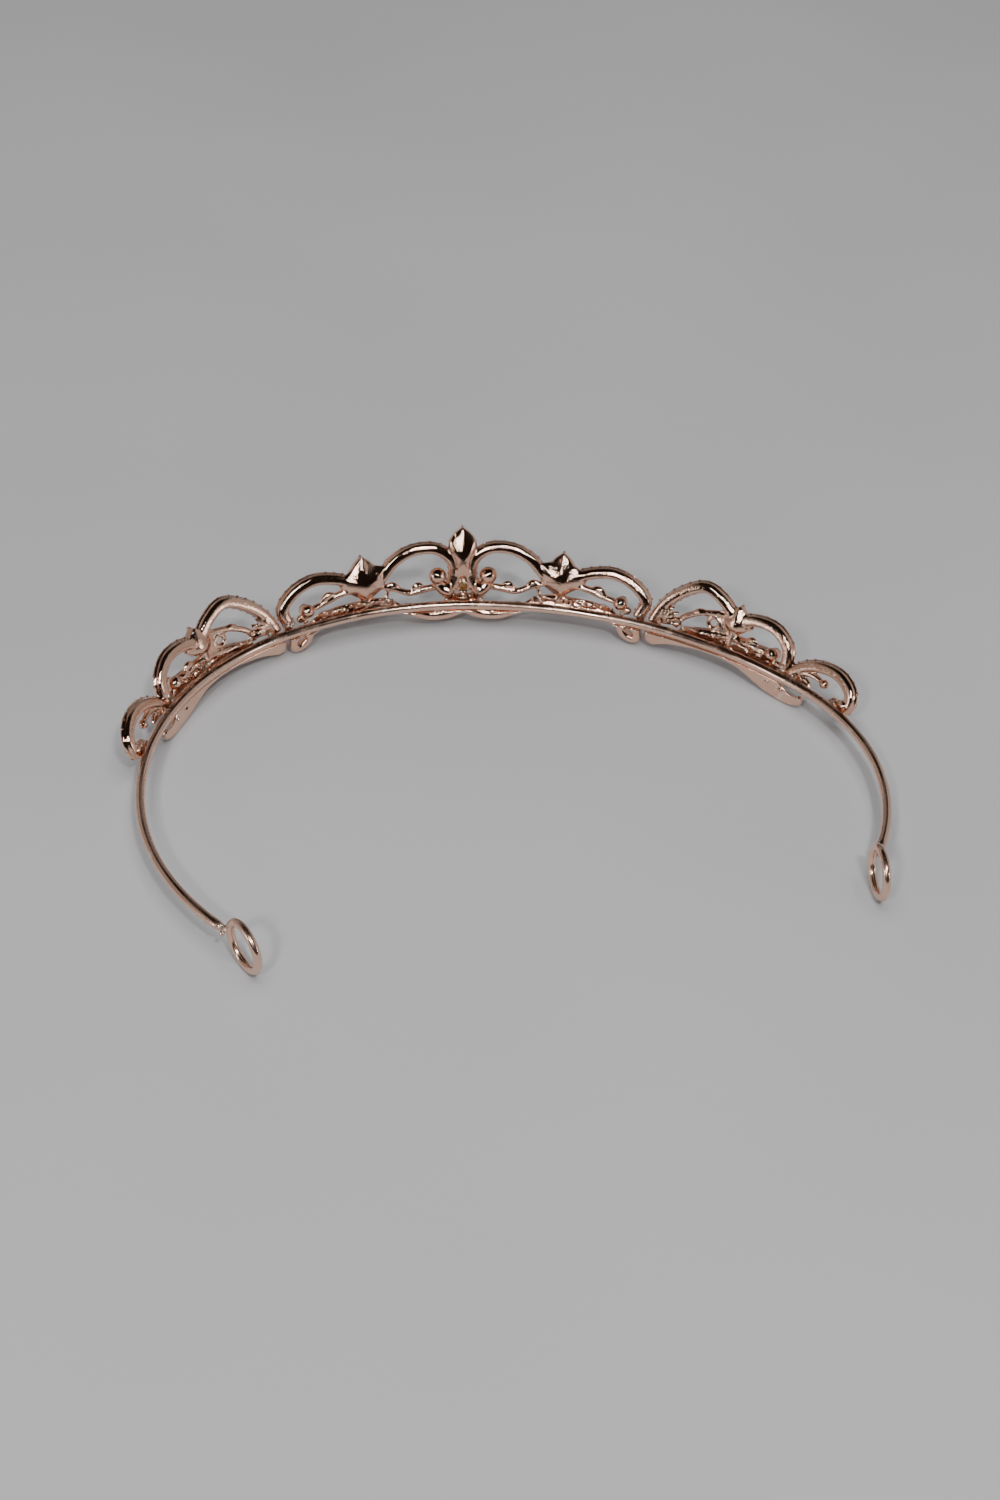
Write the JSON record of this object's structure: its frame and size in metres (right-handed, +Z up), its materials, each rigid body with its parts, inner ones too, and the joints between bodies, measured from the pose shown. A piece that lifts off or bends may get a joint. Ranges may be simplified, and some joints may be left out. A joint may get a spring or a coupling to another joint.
{
  "type": "bridal tiara",
  "caption": "Low bridal tiara: a sprung wire band with a ring at each end, openwork scroll ornaments with pear and round crystals along its front.",
  "frame": {"origin": "centre of the tiara's outline on the surface it stands on", "axes": "+Z up, ornaments facing -Y, the open side of the band towards +Y, the wearer's left towards +X"},
  "size_m": [0.1468, 0.1124, 0.02],
  "materials": {
    "plated_band": "polished rose gold plating on drawn wire",
    "plated_casting": "polished rose gold plating on cast alloy",
    "clear_crystal": "clear cut glass with a foiled back"
  },
  "bodies": {
    "root": {"head_band": "plated_band", "left_end_ring": "plated_band", "right_end_ring": "plated_band", "centre_casting": "plated_casting", "left_casting": "plated_casting", "right_casting": "plated_casting", "centre_pear_crystal": "clear_crystal", "centre_round_crystal": "clear_crystal", "left_inner_pear_crystal": "clear_crystal", "left_outer_pear_crystal": "clear_crystal", "left_scroll_crystal": "clear_crystal", "left_vine_crystal": "clear_crystal", "left_side_crystal": "clear_crystal", "left_inner_arch_crystal_row": "clear_crystal", "left_outer_arch_crystal_row": "clear_crystal", "left_big_arch_crystal_row": "clear_crystal", "left_middle_arch_crystal_row": "clear_crystal", "left_small_arch_crystal_row": "clear_crystal", "right_inner_pear_crystal": "clear_crystal", "right_outer_pear_crystal": "clear_crystal", "right_scroll_crystal": "clear_crystal", "right_vine_crystal": "clear_crystal", "right_side_crystal": "clear_crystal", "right_inner_arch_crystal_row": "clear_crystal", "right_outer_arch_crystal_row": "clear_crystal", "right_big_arch_crystal_row": "clear_crystal", "right_middle_arch_crystal_row": "clear_crystal", "right_small_arch_crystal_row": "clear_crystal"}
  },
  "joints": []
}
